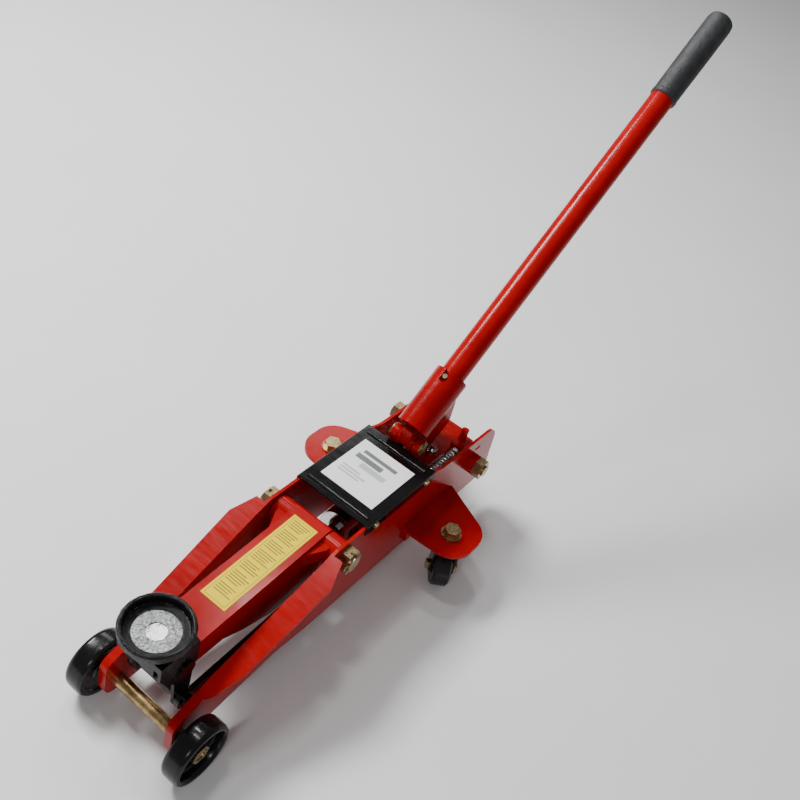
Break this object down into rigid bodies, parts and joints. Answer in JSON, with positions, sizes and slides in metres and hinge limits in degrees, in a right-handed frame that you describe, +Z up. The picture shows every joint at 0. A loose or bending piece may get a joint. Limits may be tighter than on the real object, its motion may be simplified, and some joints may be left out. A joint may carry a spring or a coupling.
{
  "type": "hydraulic floor jack",
  "caption": "Low trolley jack with steel side plates, a levelling saddle on a hydraulic lift arm, front wheels, swivel casters and a pumping handle.",
  "frame": {"origin": "on the floor under the middle of the whole jack's bounding box, handle included", "axes": "+X forward to the saddle end, +Y to the jack's left, +Z up"},
  "size_m": [0.7798, 0.21, 0.4906],
  "materials": {
    "red_paint": "glossy red enamel over pressed steel",
    "black_paint": "gloss black paint",
    "black_cast": "gloss black paint over rough casting",
    "zinc": "yellow passivated zinc",
    "chrome": "ground and polished steel",
    "spring_steel": "bright zinc plated wire",
    "grip_rubber": "matt black foam rubber",
    "wheel_black": "gloss black cast wheel",
    "label_white": "glossy white sticker with no lettering",
    "label_yellow": "glossy yellow sticker with no lettering"
  },
  "bodies": {
    "frame": {"side_plate_left": "red_paint", "side_plate_right": "red_paint", "front_axle": "zinc", "front_hub_nuts": "zinc", "arm_pivot_shaft": "zinc", "arm_pivot_nuts": "zinc", "arm_pivot_split_pins": "zinc", "cover_plate": "black_paint", "cover_label": "label_white", "cover_screws": "zinc", "pump_block": "red_paint", "oil_filler_plug": "chrome", "socket_hinge_pin": "zinc", "oil_reservoir": "red_paint", "hydraulic_cylinder": "chrome", "cylinder_gland": "chrome", "rear_cross_bolt": "zinc", "rear_bolt_spacers": "zinc", "rear_bolt_nuts": "red_paint", "rear_lock_nuts": "zinc", "caster_bracket_left": "red_paint", "caster_bracket_right": "red_paint", "caster_kingpin_left": "zinc", "caster_kingpin_right": "zinc", "link_rod_studs": "zinc"},
    "wheel_left": {"front_wheel_left": "wheel_black"},
    "wheel_right": {"front_wheel_right": "wheel_black"},
    "caster_left": {"caster_fork_left": "black_paint", "caster_axle_left": "zinc"},
    "caster_right": {"caster_fork_right": "black_paint", "caster_axle_right": "zinc"},
    "caster_roller_left": {"caster_wheel_left": "wheel_black"},
    "caster_roller_right": {"caster_wheel_right": "wheel_black"},
    "arm": {"lift_arm": "red_paint", "arm_label": "label_yellow", "crank_pin": "zinc", "arm_tip_pin": "black_paint"},
    "head": {"saddle_bracket": "black_cast", "link_tip_pin": "black_paint"},
    "saddle_top": {"saddle": "black_cast", "saddle_centre_pin": "chrome"},
    "links": {"link_rod_left": "black_paint", "link_rod_right": "black_paint"},
    "ram_set": {"ram": "chrome", "ram_yoke": "red_paint", "spring_arm": "red_paint", "return_spring": "spring_steel"},
    "socket": {"handle_socket": "red_paint", "cam_roller": "chrome", "cam_roller_pin": "chrome"},
    "plunger": {"pump_plunger": "chrome", "plunger_spring": "spring_steel"},
    "valve": {"release_valve": "chrome"},
    "handle": {"handle_tube": "red_paint", "handle_locking_peg": "zinc", "handle_grip": "grip_rubber"}
  },
  "joints": [
    {"name": "wheel_left_spin", "type": "hinge", "parent": "frame", "child": "wheel_left", "pos_m": [0.36063, 0.056, 0.0293], "axis": [0, 1, 0], "continuous": true},
    {"name": "wheel_right_spin", "type": "hinge", "parent": "frame", "child": "wheel_right", "pos_m": [0.36063, -0.056, 0.0293], "axis": [0, 1, 0], "continuous": true},
    {"name": "caster_left_swivel", "type": "hinge", "parent": "frame", "child": "caster_left", "pos_m": [0.04263, 0.078, 0.054], "axis": [0, 0, 1], "continuous": true},
    {"name": "caster_right_swivel", "type": "hinge", "parent": "frame", "child": "caster_right", "pos_m": [0.04263, -0.078, 0.054], "axis": [0, 0, 1], "continuous": true},
    {"name": "caster_left_roll", "type": "hinge", "parent": "caster_left", "child": "caster_roller_left", "pos_m": [0.04837, 0.08202, 0.02], "axis": [-0.5736, 0.8192, 0], "continuous": true},
    {"name": "caster_right_roll", "type": "hinge", "parent": "caster_right", "child": "caster_roller_right", "pos_m": [0.03606, -0.07561, 0.02], "axis": [-0.342, -0.9397, 0], "continuous": true},
    {"name": "arm_lift", "type": "hinge", "parent": "frame", "child": "arm", "pos_m": [0.17963, 0, 0.105], "axis": [0, -1, 0], "range_deg": [0, 62]},
    {"name": "head_level", "type": "hinge", "parent": "arm", "child": "head", "pos_m": [0.34863, 0, 0.095], "axis": [0, -1, 0], "range_deg": [-62, 0]},
    {"name": "saddle_swivel", "type": "hinge", "parent": "head", "child": "saddle_top", "pos_m": [0.35893, 0, 0.112], "axis": [0, 0, 1], "continuous": true},
    {"name": "links_swing", "type": "hinge", "parent": "frame", "child": "links", "pos_m": [0.17963, 0, 0.067], "axis": [0, -1, 0], "range_deg": [0, 62]},
    {"name": "ram_push", "type": "slide", "parent": "frame", "child": "ram_set", "axis": [1, 0, 0], "range_m": [0, 0.0464], "deforming": ["return_spring"]},
    {"name": "socket_pump", "type": "hinge", "parent": "frame", "child": "socket", "pos_m": [0.03863, 0, 0.13], "axis": [0, 1, 0], "range_deg": [0, 45]},
    {"name": "plunger_stroke", "type": "slide", "parent": "frame", "child": "plunger", "axis": [0, 0, 1], "range_m": [0, 0.0248], "deforming": ["plunger_spring"]},
    {"name": "handle_pull", "type": "slide", "parent": "socket", "child": "handle", "axis": [-0.7782, 0, 0.628], "range_m": [0, 0.055]},
    {"name": "valve_turn", "type": "hinge", "parent": "frame", "child": "valve", "pos_m": [0.01163, 0.0167, 0.1], "axis": [0, 0, 1], "range_deg": [0, 180]}
  ],
  "couplings": [
    {"joint": "head_level", "follows": "arm_lift", "ratio": -1},
    {"joint": "links_swing", "follows": "arm_lift", "ratio": 1},
    {"joint": "ram_push", "follows": "arm_lift", "m_per_rad": 0.04284},
    {"joint": "plunger_stroke", "follows": "socket_pump", "m_per_rad": 0.0315}
  ]
}
